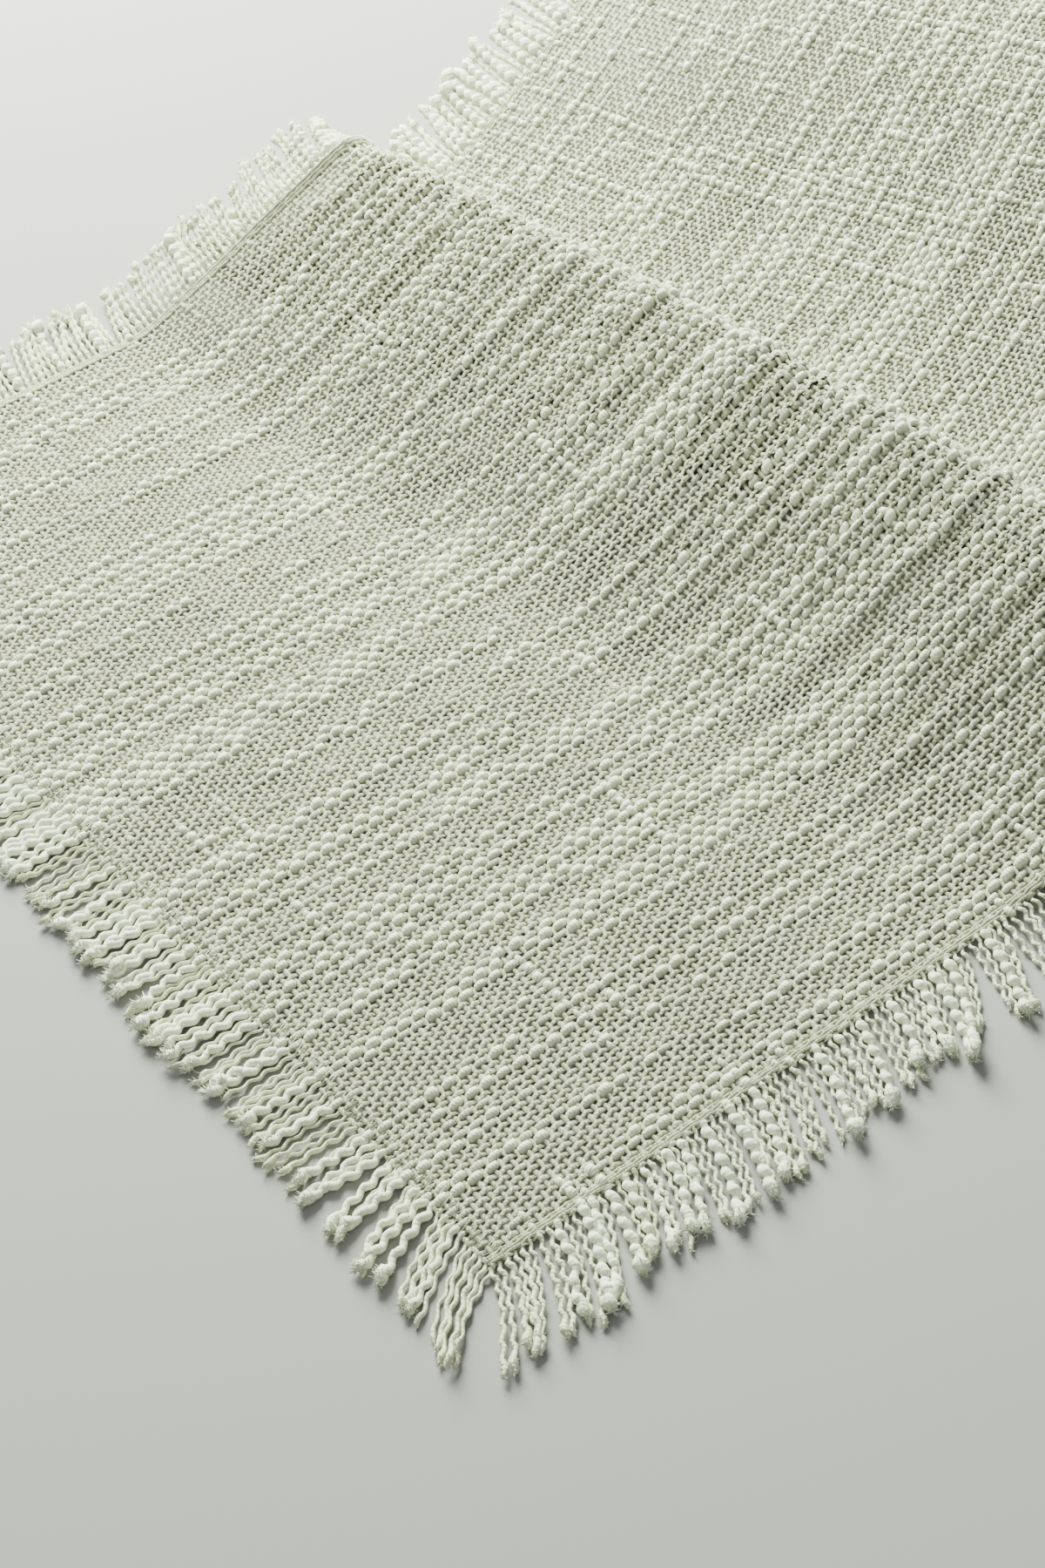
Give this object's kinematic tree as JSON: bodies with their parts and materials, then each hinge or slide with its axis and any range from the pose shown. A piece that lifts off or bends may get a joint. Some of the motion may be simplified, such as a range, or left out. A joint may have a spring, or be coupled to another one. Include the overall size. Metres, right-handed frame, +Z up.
{
  "type": "table runner",
  "caption": "Rectangular table runner of open slub-weave cotton with frayed fringes on all four edges, lying in two soft waves, one tucked under itself.",
  "frame": {"origin": "under the middle of the runner as it lies, on the surface it lies on", "axes": "+X along the near part of the cloth, from its near end towards its far end; +Y across it, to the left; +Z up"},
  "size_m": [0.8892, 0.5452, 0.0683],
  "materials": {
    "woven_cotton": "open plain weave of cream cotton with thick and thin slub yarns, matte",
    "ravelled_cotton": "loose crimped cream cotton yarns, matte"
  },
  "bodies": {
    "root": {"cloth": "woven_cotton", "fringe_near_end": "ravelled_cotton", "fringe_far_end": "ravelled_cotton", "fringe_right_side": "ravelled_cotton", "fringe_left_side": "ravelled_cotton"}
  },
  "joints": []
}
